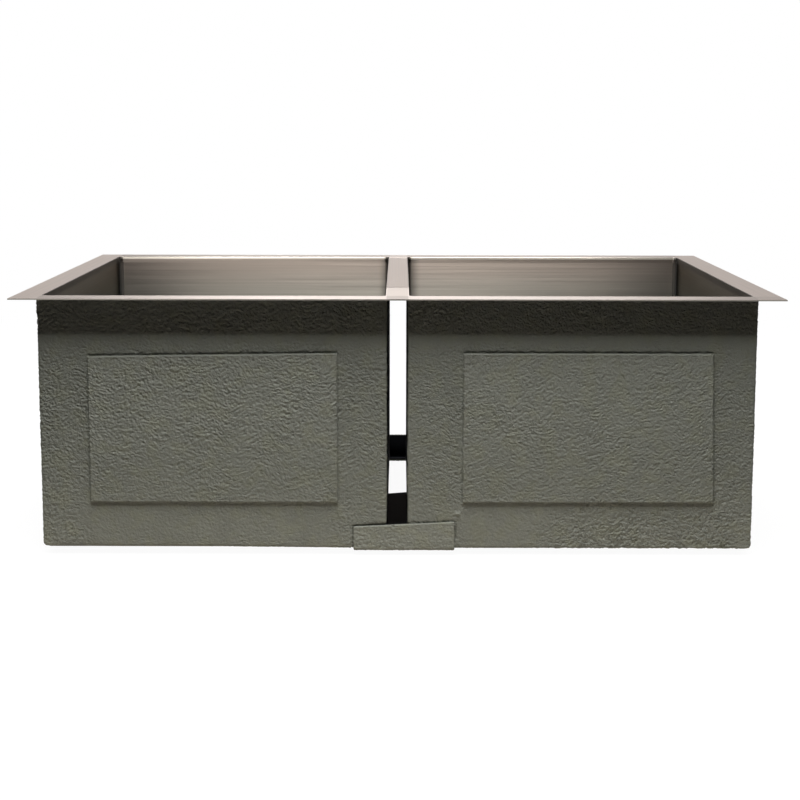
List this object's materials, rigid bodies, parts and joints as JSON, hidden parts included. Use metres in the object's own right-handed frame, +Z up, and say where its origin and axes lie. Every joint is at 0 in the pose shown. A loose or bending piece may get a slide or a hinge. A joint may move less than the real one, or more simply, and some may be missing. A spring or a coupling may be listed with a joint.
{
  "type": "undermount double bowl sink",
  "caption": "Undermount steel sink with equal deep rectangular bowls side by side, a flat rim, a narrow divider, round drain dishes, and a sprayed sound-deadening coat over pads outside.",
  "frame": {"origin": "middle of the rim's flat top, on the divider strip, in the plane that meets the counter's underside", "axes": "+X to the right across the bowls, +Y to the back rail, +Z up out of the bowls"},
  "size_m": [0.762, 0.4572, 0.2643],
  "materials": {
    "rim_steel": "satin, brushed along each rail",
    "bowl_steel": "satin, brushed level",
    "tie_steel": "mill",
    "pad_rubber": "matt",
    "undercoat": "sprayed, rough like orange peel"
  },
  "bodies": {
    "root": {"rim_frame": "rim_steel", "divider_strip": "rim_steel", "left_bowl": "bowl_steel", "left_front_pad": "pad_rubber", "left_rear_pad": "pad_rubber", "left_side_pad": "pad_rubber", "left_front_base_pad": "pad_rubber", "left_rear_base_pad": "pad_rubber", "left_undercoat": "undercoat", "right_bowl": "bowl_steel", "right_front_pad": "pad_rubber", "right_rear_pad": "pad_rubber", "right_side_pad": "pad_rubber", "right_front_base_pad": "pad_rubber", "right_rear_base_pad": "pad_rubber", "right_undercoat": "undercoat", "front_tie": "tie_steel", "front_tie_coat": "undercoat", "rear_tie": "tie_steel", "rear_tie_coat": "undercoat"}
  },
  "joints": []
}
